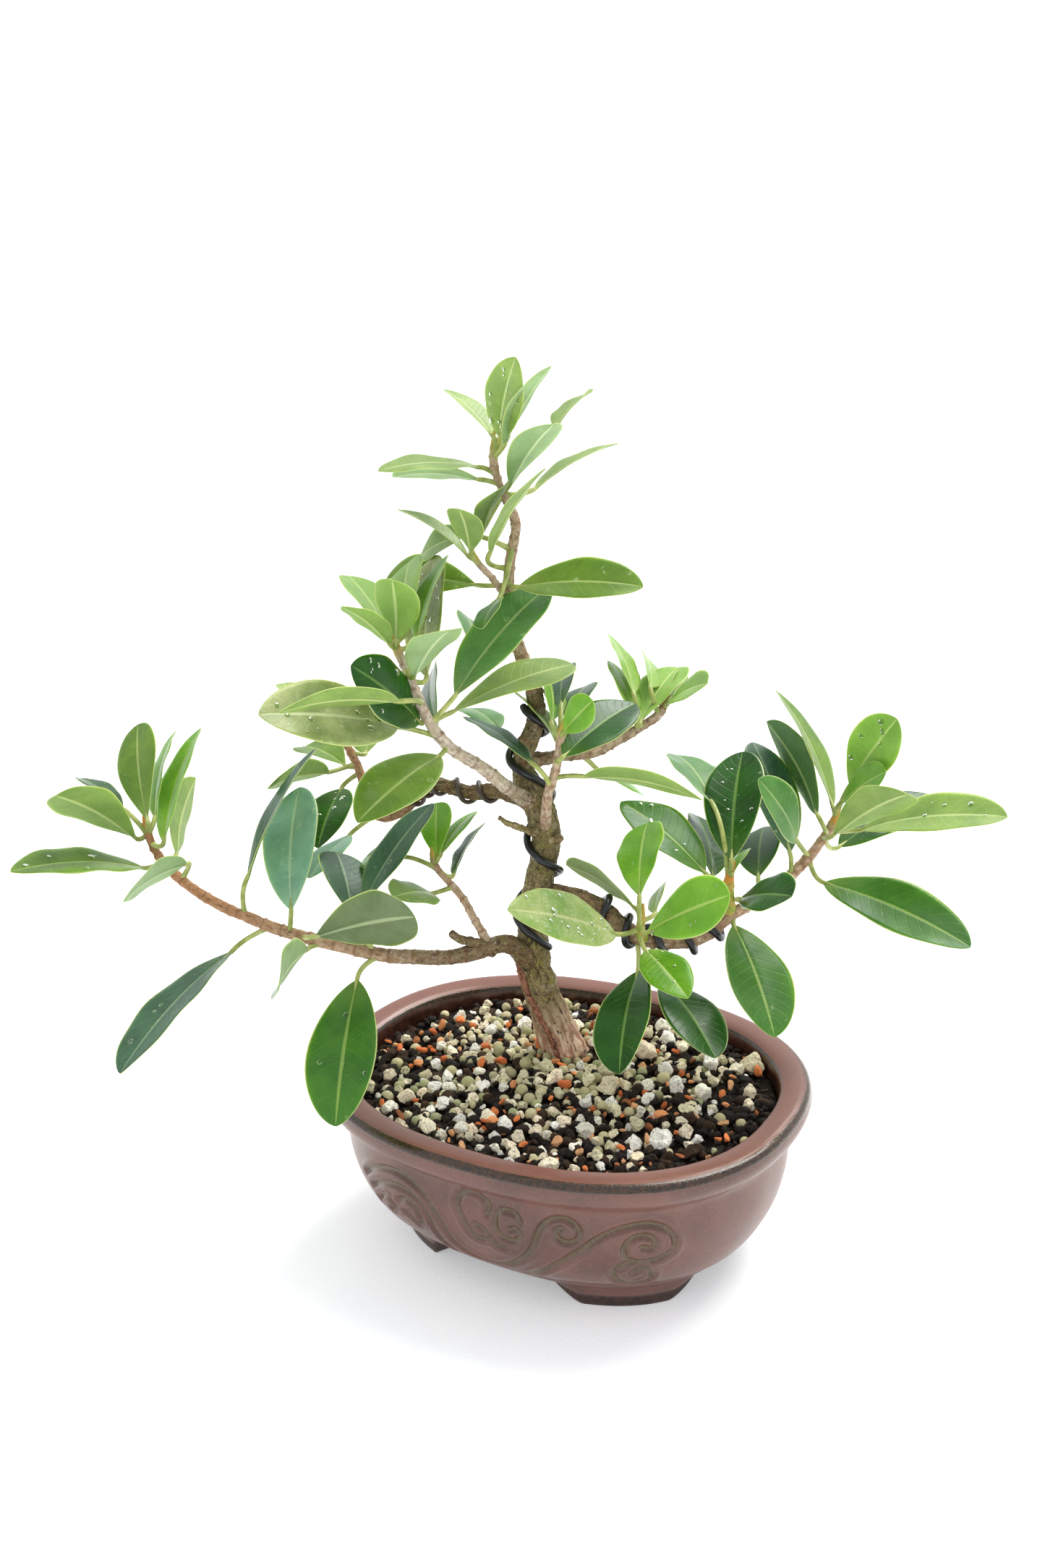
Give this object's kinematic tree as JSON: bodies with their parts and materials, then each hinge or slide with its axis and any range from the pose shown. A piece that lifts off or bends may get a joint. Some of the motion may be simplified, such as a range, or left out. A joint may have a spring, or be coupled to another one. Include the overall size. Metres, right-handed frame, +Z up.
{
  "type": "bonsai tree in a pot",
  "caption": "Small wired fig bonsai with oval glossy leaves, growing in gritty soil in a shallow oval glazed pot on low feet.",
  "frame": {"origin": "under the middle of the whole object's footprint, on the surface that the pot's feet stand on", "axes": "+Z up, X along the pot's long axis, -Y towards the side that the middle twig and the front leaves lean over"},
  "size_m": [0.3368, 0.2762, 0.3504],
  "materials": {
    "glaze": "satin",
    "screen": "matte",
    "soil": "matte",
    "bark": "matte",
    "twig": "satin",
    "leaf": "satin",
    "black_wire": "satin",
    "brown_wire": "satin"
  },
  "bodies": {
    "root": {"pot": "glaze", "drain_screen_left": "screen", "drain_screen_right": "screen", "soil": "soil", "trunk": "bark", "apex_shoot": "twig", "left_branch": "twig", "left_spur": "twig", "middle_twig": "twig", "back_left_branch": "twig", "centre_twig": "twig", "back_right_twig": "twig", "right_branch": "twig", "top_spur": "twig", "front_bud": "twig", "right_bud": "twig", "upper_slender_leaf": "leaf", "upper_left_leaf": "leaf", "upper_drooping_leaf": "leaf", "upper_right_leaf": "leaf", "crown_left_leaf": "leaf", "crown_inner_leaf": "leaf", "crown_fork_leaf": "leaf", "middle_front_leaf": "leaf", "middle_slender_leaf": "leaf", "middle_low_leaf": "leaf", "middle_tall_leaf": "leaf", "back_left_low_leaf": "leaf", "left_tip_leaf": "leaf", "left_twisted_leaf": "leaf", "left_back_leaf": "leaf", "left_broad_leaf": "leaf", "left_front_leaf": "leaf", "left_narrow_leaf": "leaf", "left_over_leaf": "leaf", "left_inner_leaf": "leaf", "left_upright_leaf": "leaf", "left_hanging_leaf": "leaf", "centre_right_leaf": "leaf", "centre_left_leaf": "leaf", "back_right_leaf": "leaf", "front_left_leaf": "leaf", "front_right_leaf": "leaf", "front_lime_leaf": "leaf", "front_hanging_leaf": "leaf", "front_hanging_leaf_2": "leaf", "right_small_leaf": "leaf", "right_hanging_leaf": "leaf", "right_back_leaf": "leaf", "right_tall_leaf": "leaf", "right_upright_leaf": "leaf", "right_tip_leaf": "leaf", "right_far_leaf": "leaf", "right_low_leaf": "leaf", "trunk_wire": "black_wire", "right_wire": "black_wire", "back_left_wire": "brown_wire"}
  },
  "joints": []
}
